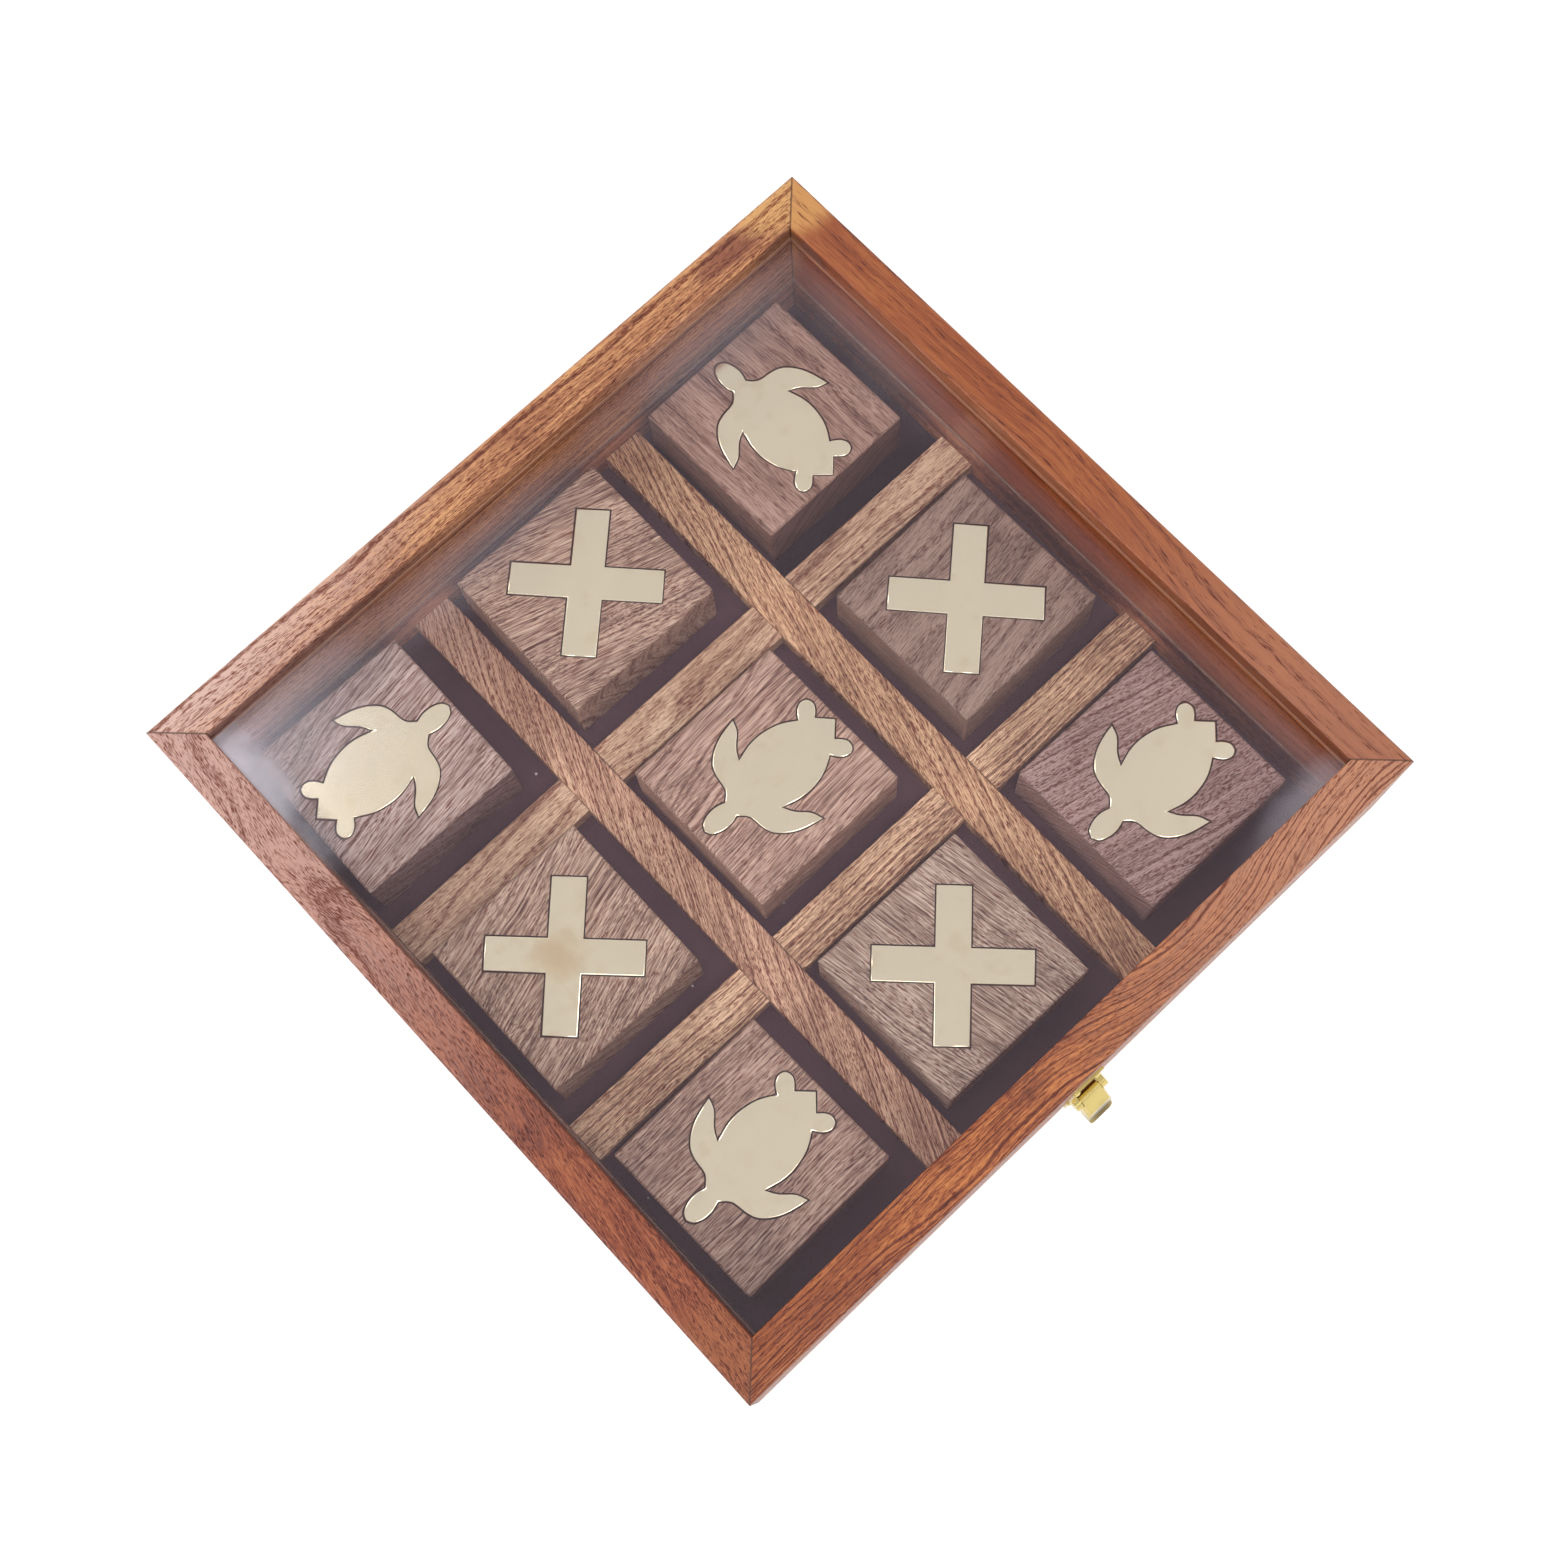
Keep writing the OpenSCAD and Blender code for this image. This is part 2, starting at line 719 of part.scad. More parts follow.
// A block with the recess for its figure, which is given as the child
module recessed_block(cell) {
    color("#7a6058") in_cell(cell) difference() {
        plain_block();
        translate([0, 0, block_top + inlay_proud - inlay_t]) linear_extrude(inlay_t + over)
            in_block(cell) children();
    }
}

module turtle_block(cell) {
    recessed_block(cell) turtle_figure(glue_line);
}

module cross_block(cell) {
    recessed_block(cell) cross_figure(glue_line);
}

// The brass plate in a block, its figure given as the child
module brass_plate(cell) {
    color("#d8cba8") in_cell(cell) translate([0, 0, block_top + inlay_proud - inlay_t])
        linear_extrude(inlay_t) in_block(cell) children();
}

module turtle_inlay(cell) {
    brass_plate(cell) turtle_figure(0);
}

module cross_inlay(cell) {
    brass_plate(cell) cross_figure(0);
}

tray_front_wall();
tray_right_wall();
tray_back_wall();
tray_left_wall();
base_board();
floor_lining();
divider_left();
divider_right();
divider_front();
divider_back();
lid_front_rail();
lid_right_rail();
lid_back_rail();
lid_left_rail();
glass_panel();
hinge_left_tray_leaf();
hinge_right_tray_leaf();
hinge_left_lid_leaf();
hinge_right_lid_leaf();
hinge_left_pin();
hinge_right_pin();
hinge_tray_screws();
hinge_lid_screws();
latch_plate();
latch_plate_nails();
latch_pin();
latch_hasp();
latch_keeper();
latch_keeper_nails();
turtle_block(front_left);  // block_front_left
cross_block(front_middle);  // block_front_middle
turtle_block(front_right);  // block_front_right
cross_block(middle_left);  // block_middle_left
turtle_block(centre);  // block_centre
cross_block(middle_right);  // block_middle_right
turtle_block(back_left);  // block_back_left
cross_block(back_middle);  // block_back_middle
turtle_block(back_right);  // block_back_right
turtle_inlay(front_left);  // turtle_front_left
cross_inlay(front_middle);  // cross_front_middle
turtle_inlay(front_right);  // turtle_front_right
cross_inlay(middle_left);  // cross_middle_left
turtle_inlay(centre);  // turtle_centre
cross_inlay(middle_right);  // cross_middle_right
turtle_inlay(back_left);  // turtle_back_left
cross_inlay(back_middle);  // cross_back_middle
turtle_inlay(back_right);  // turtle_back_right
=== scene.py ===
import math

import bmesh
import bpy
from mathutils import Matrix, Vector


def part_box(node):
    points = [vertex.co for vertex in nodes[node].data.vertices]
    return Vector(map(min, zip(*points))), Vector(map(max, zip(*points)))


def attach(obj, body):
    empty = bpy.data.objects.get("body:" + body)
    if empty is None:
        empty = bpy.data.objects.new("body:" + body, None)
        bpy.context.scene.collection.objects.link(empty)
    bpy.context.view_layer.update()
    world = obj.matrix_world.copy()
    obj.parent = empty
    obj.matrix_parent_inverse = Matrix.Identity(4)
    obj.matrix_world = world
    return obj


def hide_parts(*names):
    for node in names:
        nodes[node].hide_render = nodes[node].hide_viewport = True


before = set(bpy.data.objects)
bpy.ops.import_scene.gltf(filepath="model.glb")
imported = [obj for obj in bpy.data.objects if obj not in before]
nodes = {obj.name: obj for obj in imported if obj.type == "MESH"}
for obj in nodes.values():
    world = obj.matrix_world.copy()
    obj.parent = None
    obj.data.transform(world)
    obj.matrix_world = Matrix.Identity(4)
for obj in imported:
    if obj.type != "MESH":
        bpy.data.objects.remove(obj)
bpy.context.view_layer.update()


# The camera. The photograph looks down on the closed box from half a metre above its front left
# corner, turned so that the hinged side runs up to the left. A pinhole fitted to the lid's corners,
# the crossings of the dividers and the blocks gave this place, these directions and this lens.
camera_place = Vector((-0.07874, -0.11042, 0.52945))
looking = Vector((0.14874, 0.20823, -0.96670))
rightward = Vector((0.72945, -0.68314, -0.03492))
downward = Vector((-0.66767, -0.69997, -0.25350))
photo_side = 1554
focal_pixels = 2230.4

camera_data = bpy.data.cameras.new("photo_camera")
camera_data.sensor_width = 36
camera_data.lens = camera_data.sensor_width * focal_pixels / photo_side
camera_data.clip_start = 0.01
camera = bpy.data.objects.new("photo_camera", camera_data)
aim = Matrix((rightward, -downward, -looking)).transposed().to_4x4()
camera.matrix_world = Matrix.Translation(camera_place) @ aim
bpy.context.scene.collection.objects.link(camera)
bpy.context.scene.camera = camera
bpy.context.scene.view_settings.view_transform = "Standard"


# The floor. The box lies on a wide sheet of white card, lit so brightly that it is plain white
# wherever the box keeps no light from it. Camera, mirror and glass rays see the card lifted to
# that white, and the soft shadow stays on it.
MM = 0.001


def linear(colour):
    """The linear RGBA of an sRGB hex colour."""
    parts = [int(colour[i : i + 2], 16) / 255 for i in (1, 3, 5)]
    return [c / 12.92 if c <= 0.04045 else ((c + 0.055) / 1.055) ** 2.4 for c in parts] + [1]


def add(tree, kind, settings=(), inputs=()):
    """Adds a node. Inputs go by name, or in order as a list: constants, or nodes to link. The
    setting named stops is a colour ramp's list of positions and hex colours."""
    node = tree.nodes.new(kind)
    for name, value in dict(settings).items():
        if name != "stops":
            setattr(node, name, value)
            continue
        ramp = node.color_ramp.elements
        while len(ramp) < len(value):
            ramp.new(1)
        for stop, (position, colour) in zip(ramp, value):
            stop.position, stop.color = position, linear(colour)
    open_inputs = [s for s in node.inputs if s.enabled]
    if isinstance(inputs, dict):
        pairs = [(next(s for s in open_inputs if s.name == name), v) for name, v in inputs.items()]
    else:
        pairs = list(zip(open_inputs, inputs))
    for socket, value in pairs:
        if isinstance(value, bpy.types.Node):
            value = next(s for s in value.outputs if s.enabled)
        if isinstance(value, bpy.types.NodeSocket):
            tree.links.new(value, socket)
        else:
            socket.default_value = value
    return node


def new_material(name):
    """A node material without nodes, and its tree."""
    material = bpy.data.materials.new(name)
    material.use_nodes = True
    material.node_tree.nodes.clear()
    return material, material.node_tree


def square_sheet(name, side, material):
    """A square sheet on the ground plane, facing up, which isn't part of the box."""
    mesh = bpy.data.meshes.new(name)
    half = side / 2
    corners = [(-half, -half, 0), (half, -half, 0), (half, half, 0), (-half, half, 0)]
    mesh.from_pydata(corners, [], [(0, 1, 2, 3)])
    mesh.materials.append(material)
    sheet = bpy.data.objects.new(name, mesh)
    bpy.context.scene.collection.objects.link(sheet)
    return sheet


card_side = 8
card_below = 0.1 * MM
card_lift = 0.7
card_white = 1.25
white_card, tree = new_material("white_card")
rays = add(tree, "ShaderNodeLightPath").outputs
seen = add(
    tree, "ShaderNodeMath", {"operation": "MAXIMUM"}, [rays["Is Camera Ray"], rays["Is Glossy Ray"]]
)
seen = add(tree, "ShaderNodeMath", {"operation": "MAXIMUM"}, [seen, rays["Is Transmission Ray"]])
lifted = add(tree, "ShaderNodeMath", {"operation": "MULTIPLY"}, [seen, card_lift])
paper = add(tree, "ShaderNodeBsdfDiffuse", {}, {"Color": linear("#f4f4f3")})
white = add(tree, "ShaderNodeEmission", {}, {"Color": (1, 1, 1, 1), "Strength": card_white})
mixed = add(tree, "ShaderNodeMixShader", {}, [lifted, paper, white])
add(tree, "ShaderNodeOutputMaterial", {}, {"Surface": mixed})
floor = square_sheet("white_card", card_side, white_card)
floor.location.z = -card_below


# The light. A white room gives even light from all sides, a little weaker from straight above, and
# five soft lamps hang round the box, each a round glow that the camera doesn't see itself.
smooth = {"interpolation_type": "SMOOTHSTEP"}


def soft_lamp(name, place, radius, radiance, core):
    """A round glow that faces the box, even over its core, which is a share of its radius, and
    fading to nothing at its radius. Its place and radius are in metres."""
    glow, tree = new_material(name)
    spot = add(tree, "ShaderNodeTexCoord").outputs["Object"]
    off_centre = add(tree, "ShaderNodeVectorMath", {"operation": "LENGTH"}, [spot])
    level = add(tree, "ShaderNodeMapRange", smooth, [off_centre, radius, core * radius, 0, 1])
    shine = add(
        tree, "ShaderNodeEmission", {}, {"Color": linear("#fdfcff"), "Strength": radiance}
    )
    clear = add(tree, "ShaderNodeBsdfTransparent")
    faded = add(tree, "ShaderNodeMixShader", {}, [level, clear, shine])
    add(tree, "ShaderNodeOutputMaterial", {}, {"Surface": faded})
    lamp = square_sheet(name, 2 * radius, glow)
    lamp.location = place
    lamp.rotation_euler = (-Vector(place)).to_track_quat("Z", "Y").to_euler()
    lamp.visible_camera = False


# The images of the first two lie in the glass, at its back left and front right corners, and give
# the wood beside those corners a pale sheen.
soft_lamp("back_lamp", place=(-0.21, 0.66, 1.16), radius=0.21, radiance=10.0, core=0.3)
soft_lamp("side_lamp", place=(0.60, -0.12, 1.16), radius=0.25, radiance=1.5, core=0.3)
# The next two light the bottom of the box, from in front and from the left.
soft_lamp("camera_lamp", place=(-0.14, -0.50, 1.15), radius=0.30, radiance=7.0, core=0.4)
soft_lamp("left_lamp", place=(-0.90, 0.10, 0.70), radius=0.30, radiance=6.0, core=0.4)
# The low one in front puts a bright rim on the brass.
soft_lamp("front_lamp", place=(0.45, -1.1, 0.62), radius=0.25, radiance=3.0, core=0.6)

# The room's light weakens between these two heights of a direction, whose own length is 1.
ceiling_from, ceiling_to = 0.15, 0.75
wall_light = 1.0
ceiling_light = 0.74
world = bpy.data.worlds.new("white_room")
bpy.context.scene.world = world
world.use_nodes = True
tree = world.node_tree
tree.nodes.clear()
directions = add(tree, "ShaderNodeTexCoord").outputs["Generated"]
upward = add(tree, "ShaderNodeSeparateXYZ", {}, [directions]).outputs["Z"]
level = add(
    tree,
    "ShaderNodeMapRange",
    smooth,
    [upward, ceiling_from, ceiling_to, wall_light, ceiling_light],
)
room = add(tree, "ShaderNodeBackground", {}, {"Color": (1, 1, 1, 1), "Strength": level})
add(tree, "ShaderNodeOutputWorld", {}, {"Surface": room})


# The lid's rails. Four lengths of oiled sheesham, mitred and glued at the corners and sanded over
# them. The pores lie open as short dark dashes along the grain, the growth rings run through as
# dark lines, and a thin line of glue and dust shows at each mitre and along the lid's lower edge.
# No inner face lies further out than the first number. The grime of a seam and the painted
# highlights fade out from the second of their distances to the first. The two painted highlight
# lines, pale glints along the glass's edge and along the joint above the tray, are each a height
# in mm and a strength.
# The groove for the glass is a middle and half its width, outwards and upwards.
inner_faces_at = 91.7 * MM
grime_fades = (0.45 * MM, 0.15 * MM)
glint_fades = (0.5 * MM, 0.2 * MM)
painted_glint_lines = ((39.3, 0.45), (17.4, 0.4))
pore_depth = 0.1 * MM
groove_out = (93.2 * MM, 1.45 * MM)
groove_up = (37.6 * MM, 1.7 * MM)


def reach(tree, place, middle, radii):
    """How far a place lies from a middle, counted in the radii of an ellipsoid round it, in mm."""
    from_middle = add(
        tree,
        "ShaderNodeMapping",
        {"vector_type": "TEXTURE"},
        [place, [MM * m for m in middle], (0, 0, 0), [MM * r for r in radii]],
    )
    return add(tree, "ShaderNodeVectorMath", {"operation": "LENGTH"}, [from_middle])


def sheesham(
    name, turn, pith, ring, tones, lines, pores,
    patches=(), sweeps=(), seams=(), glue=(), inner_shade="", sides=(), dash=1.8, roughness=0.34,
):
    """Sheesham, oiled unless a higher roughness makes it planed or sanded. turn is the grain's
    roll, dip and heading in degrees; pith, in mm, is a point on the trunk's axis; ring is the mm
    between two growth rings; tones are the dark, the middle and the pale colour; lines and pores,
    from 0 to 1, say how dark the rings' lines are and how many pores lie open; dash is a pore's
    length in mm. A patch is a middle, radii, colour, strength and softness; some patches are
    painted sheen, painted shade or painted light. A sweep shifts the grain sideways between two
    places along it. A seam is "mitres" or a height in mm. glue is the middle and half the size of a
    box in which glue has stained the wood. The colour given for the inner faces is painted shade on
    them, with pale highlights painted along the glass and above the joint, and painted light on the
    groove for the glass. sides is a height in mm and the painted shade below it."""
    wood, tree = new_material(name)
    place = add(tree, "ShaderNodeTexCoord").outputs["Object"]
    trunk = add(
        tree,
        "ShaderNodeMapping",
        {"vector_type": "TEXTURE"},
        [place, [MM * p for p in pith], [math.radians(angle) for angle in turn], [MM] * 3],
    )

    # The fibres wander by up to 5 mm over 50 mm of their length, and the sweeps bend them further.
    slowly = (1 / 50, 1 / 16, 1 / 16)
    slow = add(tree, "ShaderNodeVectorMath", {"operation": "MULTIPLY"}, [trunk, slowly])
    wander = add(tree, "ShaderNodeTexNoise", {}, {"Vector": slow, "Scale": 1, "Detail": 2})
    bent = add(
        tree,
        "ShaderNodeVectorMath",
        {"operation": "MULTIPLY_ADD"},
        [wander.outputs["Color"], (0, 5, 5), trunk],
    )
    heading = math.radians(turn[2])
    pith_along = pith[0] * math.cos(heading) + pith[1] * math.sin(heading)
    along = add(tree, "ShaderNodeSeparateXYZ", {}, [trunk])
    for start, end, shift in sweeps:
        ends = (start - pith_along, end - pith_along)
        shifted = add(tree, "ShaderNodeMapRange", smooth, [along, *ends, 0, shift])
        shifted = add(tree, "ShaderNodeCombineXYZ", {}, {"Y": shifted})
        bent = add(tree, "ShaderNodeVectorMath", {"operation": "ADD"}, [bent, shifted])

    # Each feature of the figure has a length and a width in mm, and a level of detail.
    figure = {}
    for feature, length, width, detail in (
        ("blotch", 20, 7, 2),
        ("streak", 22, 0.4, 2),
        ("thread", 1.2 * dash, 0.17, 1),
        ("vessel", dash, 0.18, 1),
    ):
        steps = (1 / length, 1 / width, 1 / width)
        drawn_out = add(tree, "ShaderNodeVectorMath", {"operation": "MULTIPLY"}, [bent, steps])
        figure[feature] = add(
            tree, "ShaderNodeTexNoise", {}, {"Vector": drawn_out, "Scale": 1, "Detail": detail}
        )
    off_axis = add(tree, "ShaderNodeVectorMath", {"operation": "MULTIPLY"}, [bent, (0, 1, 1)])
    off_axis = add(tree, "ShaderNodeVectorMath", {"operation": "LENGTH"}, [off_axis])
    rings = add(tree, "ShaderNodeMath", {"operation": "DIVIDE"}, [off_axis, ring])
    figure["band"] = add(
        tree,
        "ShaderNodeTexNoise",
        {"noise_dimensions": "1D"},
        {"W": rings, "Scale": 1, "Detail": 2},
    )
    tone = -0.875
    for feature, share in (("blotch", 0.65), ("streak", 0.9), ("thread", 0.9), ("band", 0.3)):
        tone = add(
            tree, "ShaderNodeMath", {"operation": "MULTIPLY_ADD"}, [figure[feature], share, tone]
        )
    dark, medium, pale = tones
    colour = add(
        tree, "ShaderNodeValToRGB", {"stops": [(0.25, dark), (0.5, medium), (0.75, pale)]}, [tone]
    )

    coat = {"data_type": "RGBA"}
    stain = {"data_type": "RGBA", "blend_type": "MULTIPLY"}
    for middle, radii, shade, strength, softness in patches:
        away = reach(tree, place, middle, radii)
        ragged = add(tree, "ShaderNodeMath", {"operation": "MULTIPLY_ADD"}, [tone, 0.35, away])
        edge = (1.15 + softness, 1.15 - softness)
        cover = add(tree, "ShaderNodeMapRange", smooth, [ragged, *edge, 0, strength])
        colour = add(tree, "ShaderNodeMix", coat, [cover, colour, linear(shade)])

    # A dark line runs where the rings' noise dips, and a pore lies open where the vessels' peaks.
    line = add(tree, "ShaderNodeMapRange", smooth, [figure["band"], 0.46, 0.39, 0, lines])
    closed_below = add(
        tree,
        "ShaderNodeMath",
        {"operation": "MULTIPLY_ADD"},
        [figure["band"], 0.5, 0.42 - 0.15 * pores],
    )
    pore = add(tree, "ShaderNodeMath", {"operation": "SUBTRACT"}, [figure["vessel"], closed_below])
    pore = add(tree, "ShaderNodeMapRange", smooth, [pore, -0.03, 0.05, 0, 1])
    deepest = add(tree, "ShaderNodeMath", {"operation": "MAXIMUM"}, [line, pore])
    colour = add(tree, "ShaderNodeMix", stain, [deepest, colour, linear("#a0705f")])

    parts = add(tree, "ShaderNodeSeparateXYZ", {}, [place]).outputs
    height = parts["Z"]
    across_x = add(tree, "ShaderNodeMath", {"operation": "ABSOLUTE"}, [parts["X"]])
    across_y = add(tree, "ShaderNodeMath", {"operation": "ABSOLUTE"}, [parts["Y"]])
    for seam in seams:
        pair = [across_x, across_y] if seam == "mitres" else [height, seam * MM]
        gap = add(tree, "ShaderNodeMath", {"operation": "SUBTRACT"}, pair)
        gap = add(tree, "ShaderNodeMath", {"operation": "ABSOLUTE"}, [gap])
        grime = add(tree, "ShaderNodeMapRange", smooth, [gap, *grime_fades, 0, 0.75])
        colour = add(tree, "ShaderNodeMix", coat, [grime, colour, linear("#4a2a1e")])

    if inner_shade:
        # Painted shade: the inner faces are darkened and tinted by the colour given for them.
        outward = add(tree, "ShaderNodeMath", {"operation": "MAXIMUM"}, [across_x, across_y])
        within = add(tree, "ShaderNodeMath", {"operation": "LESS_THAN"}, [outward, inner_faces_at])
        colour = add(tree, "ShaderNodeMix", stain, [within, colour, linear(inner_shade)])
        # Painted highlights: pale glints painted along the glass's edge and along the joint above
        # the tray.
        for level, most in painted_glint_lines:
            above = add(tree, "ShaderNodeMath", {"operation": "SUBTRACT"}, [height, level * MM])
            above = add(tree, "ShaderNodeMath", {"operation": "ABSOLUTE"}, [above])
            painted_shine = add(tree, "ShaderNodeMapRange", smooth, [above, *glint_fades, 0, most])
            painted_shine = add(tree, "ShaderNodeMath", {"operation": "MULTIPLY"}, [painted_shine, within])
            colour = add(tree, "ShaderNodeMix", coat, [painted_shine, colour, linear("#e8c8b4")])
        # Painted light: the groove for the glass is lifted to a pale orange where shade falls in
        # it.
        deep = add(tree, "ShaderNodeMath", {"operation": "COMPARE"}, [outward, *groove_out])
        beside = add(tree, "ShaderNodeMath", {"operation": "COMPARE"}, [height, *groove_up])
        painted_groove_light = add(tree, "ShaderNodeMath", {"operation": "MULTIPLY"}, [deep, beside])
        colour = add(tree, "ShaderNodeMix", coat, [painted_groove_light, colour, linear("#e6a06c")])
    # Painted shade darkens the wood below a height.
    if sides:
        top, shade = sides
        lower = add(tree, "ShaderNodeMath", {"operation": "LESS_THAN"}, [height, top * MM])
        colour = add(tree, "ShaderNodeMix", stain, [lower, colour, linear(shade)])
    if glue:
        middle, half = glue
        in_box = add(
            tree,
            "ShaderNodeMapping",
            {"vector_type": "TEXTURE"},
            [place, [MM * m for m in middle], (0, 0, 0), [MM * h for h in half]],
        )
        in_box = add(tree, "ShaderNodeVectorMath", {"operation": "ABSOLUTE"}, [in_box])
        shares = add(tree, "ShaderNodeSeparateXYZ", {}, [in_box]).outputs
        most = add(tree, "ShaderNodeMath", {"operation": "MAXIMUM"}, [shares["X"], shares["Y"]])
        most = add(tree, "ShaderNodeMath", {"operation": "MAXIMUM"}, [most, shares["Z"]])
        glued = add(tree, "ShaderNodeMath", {"operation": "LESS_THAN"}, [most, 1])
        colour = add(tree, "ShaderNodeMix", coat, [glued, colour, linear("#443026")])

    rough = add(tree, "ShaderNodeMath", {"operation": "MULTIPLY_ADD"}, [pore, 0.3, roughness])
    raised = add(tree, "ShaderNodeMath", {"operation": "SUBTRACT"}, [figure["thread"], pore])
    relief = add(
        tree, "ShaderNodeBump", {}, {"Strength": 0.4, "Distance": pore_depth, "Height": raised}
    )
    surface = add(
        tree,
        "ShaderNodeBsdfPrincipled",
        {},
        {"Base Color": colour, "Roughness": rough, "IOR": 1.5, "Normal": relief},
    )
    add(tree, "ShaderNodeOutputMaterial", {}, {"Surface": surface})
    return wood


def finish_node(name, material):
    """Gives a CAD node its material."""
    slots = nodes[name].data.materials
    slots.clear()
    slots.append(material)


seams = ("mitres", 17)
lid_rails = {
    "front": dict(
        turn=(0, 1.5, 0.5), pith=(0, -125, 12), ring=0.45, lines=0.8, pores=0.5,
        tones=("#662a0f", "#9a5027", "#c37940"), inner_shade="#f0dccf",
        patches=[
            # Painted sheen: the pale right end stands for the room's light glancing off the oil.
            ((101, -97, 40), (80, 34, 40), "#bf8a6e", 0.7, 0.65),
            ((-101, -97, 40), (50, 30, 40), "#8a4010", 0.55, 0.6),
        ],
        sweeps=[(-10, 30, 7), (35, 95, -11)],
    ),
    "right": dict(
        turn=(0, 0.8, 91), pith=(140, 40, 70), ring=1.6, lines=0.12, pores=0.05, dash=5,
        tones=("#824021", "#964d28", "#a66033"), inner_shade="#fdf0e6",
        patches=[
            ((97, 104, 40), (14, 17, 40), "#cf9658", 0.85, 0.15),
            # Painted sheen: the pale front end stands for the room's light glancing off the oil.
            ((97, -95, 40), (30, 62, 40), "#ac7459", 0.55, 0.6),
            # Painted shade and painted light on the inner face above the glass, darker and paler
            # along it.
            ((90.6, -62, 41.3), (1.8, 44, 3.6), "#7f4523", 0.9, 0.2),
            ((90.6, 28, 42), (1.8, 54, 3.6), "#a66a48", 0.8, 0.3),
            ((90.6, 86, 41.3), (1.8, 8, 3.6), "#6b4438", 0.7, 0.2),
        ],
        sweeps=[(-60, 10, 8)],
    ),
    "back": dict(
        turn=(0, 0.6, -1.0), pith=(300, 150, -30), ring=1.0, lines=0.2, pores=0.8,
        tones=("#8e5435", "#b57951", "#d49d6a"), inner_shade="#f4eef0",
        patches=[
            # Painted sheen: the pale left end stands for the room's light glancing off the oil.
            ((-101, 106, 40), (72, 16, 40), "#d2aea0", 0.95, 0.6),
            ((77, 97, 44), (12, 3.5, 12), "#854835", 0.75, 0.2),
            ((101, 101, 40), (20, 10, 40), "#d8a468", 0.8, 0.15),
            # Painted shade and painted light on the inner face above the glass, darker and paler
            # along it.
            ((-62, 90.6, 41.3), (46, 1.8, 3.6), "#80503c", 0.95, 0.2),
            ((52, 90.6, 42), (24, 1.8, 3.6), "#cf9f80", 0.6, 0.3),
            ((88, 90.6, 41.3), (10, 1.8, 3.6), "#8a6450", 0.6, 0.2),
        ],
    ),
    "left": dict(
        turn=(0, 2.0, 80), pith=(-150, -300, 10), ring=0.8, lines=0.15, pores=0.85,
        tones=("#672815", "#8b4429", "#a6603d"), inner_shade="#f0dccf",
        patches=[
            # Painted sheen: the pale back end stands for the room's light glancing off the oil.
            ((-97, 101, 40), (30, 84, 40), "#c8a093", 0.85, 0.8),
            ((-96, -101, 40), (20, 22, 40), "#9a5a34", 0.6, 0.2),
        ],
        sweeps=[(0, 45, -10)],
    ),
}
for side, grain in lid_rails.items():
    wood = sheesham(f"oiled_sheesham_{side}_rail", seams=seams, **grain)
    finish_node(f"lid_{side}_rail", wood)


# The tray's walls. The same sheesham in four lower lengths, mitred and glued round the base board.
# The base is a plain board of the same wood, planed but not oiled, let into the walls' rebates, so
# it is paler and duller than the walls.
wall_tones = ("#844930", "#b06d4b", "#cf9269")
tray_walls = {
    "front": dict(turn=(0, 1.0, 0.4), pith=(500, -140, -20), ring=0.8),
    "right": dict(turn=(0, -0.8, 90.6), pith=(150, 420, 30), ring=1.2),
    "back": dict(turn=(0, 0.7, -0.5), pith=(-600, 160, 10), ring=0.9),
    "left": dict(turn=(0, 1.4, 90.3), pith=(-140, 700, -10), ring=1.0),
}
for side, grain in tray_walls.items():
    # Their inner faces take a faint painted shade, and the painted highlight along the joint above
    # them.
    wood = sheesham(
        f"oiled_sheesham_{side}_wall",
        tones=wall_tones, lines=0.4, pores=0.55, seams=seams, inner_shade="#fdf8f8", **grain,
    )
    finish_node(f"tray_{side}_wall", wood)
board = sheesham(
    "planed_sheesham_base",
    turn=(0, 1.2, 0.6), pith=(0, 20, -60), ring=1.1, lines=0.4, pores=0.6,
    tones=("#8a644c", "#b08d70", "#c9a98a"), roughness=0.62,
)
finish_node("base_board", board)


# The lining. A sheet of dark flocked paper glued to the base board: short upright fibres swallow
# the light and give a dull plum-black. Painted shade darkens it in front of and beside the back
# right block, and a few white specks of dust are caught on it.
fibre_size = 0.5  # ten times as coarse as real fibres, so that they show
cloud_size = 18
speck_spacing = 9
painted_shade_patches = (
    ((62, 39, 5), (36, 9, 3), 0.9),
    ((88, 62, 5), (9, 36, 3), 0.6),
)
lining, tree = new_material("flocked_paper")
place = add(tree, "ShaderNodeTexCoord").outputs["Object"]
fibre = add(
    tree, "ShaderNodeTexNoise", {}, {"Vector": place, "Scale": 1 / (fibre_size * MM), "Detail": 2}
)
cloud = add(
    tree, "ShaderNodeTexNoise", {}, {"Vector": place, "Scale": 1 / (cloud_size * MM), "Detail": 3}
)
nap = add(tree, "ShaderNodeMath", {"operation": "MULTIPLY_ADD"}, [fibre, 0.1, cloud])
shade = add(tree, "ShaderNodeValToRGB", {"stops": [(0.3, "#4a3239"), (0.8, "#553d43")]}, [nap])
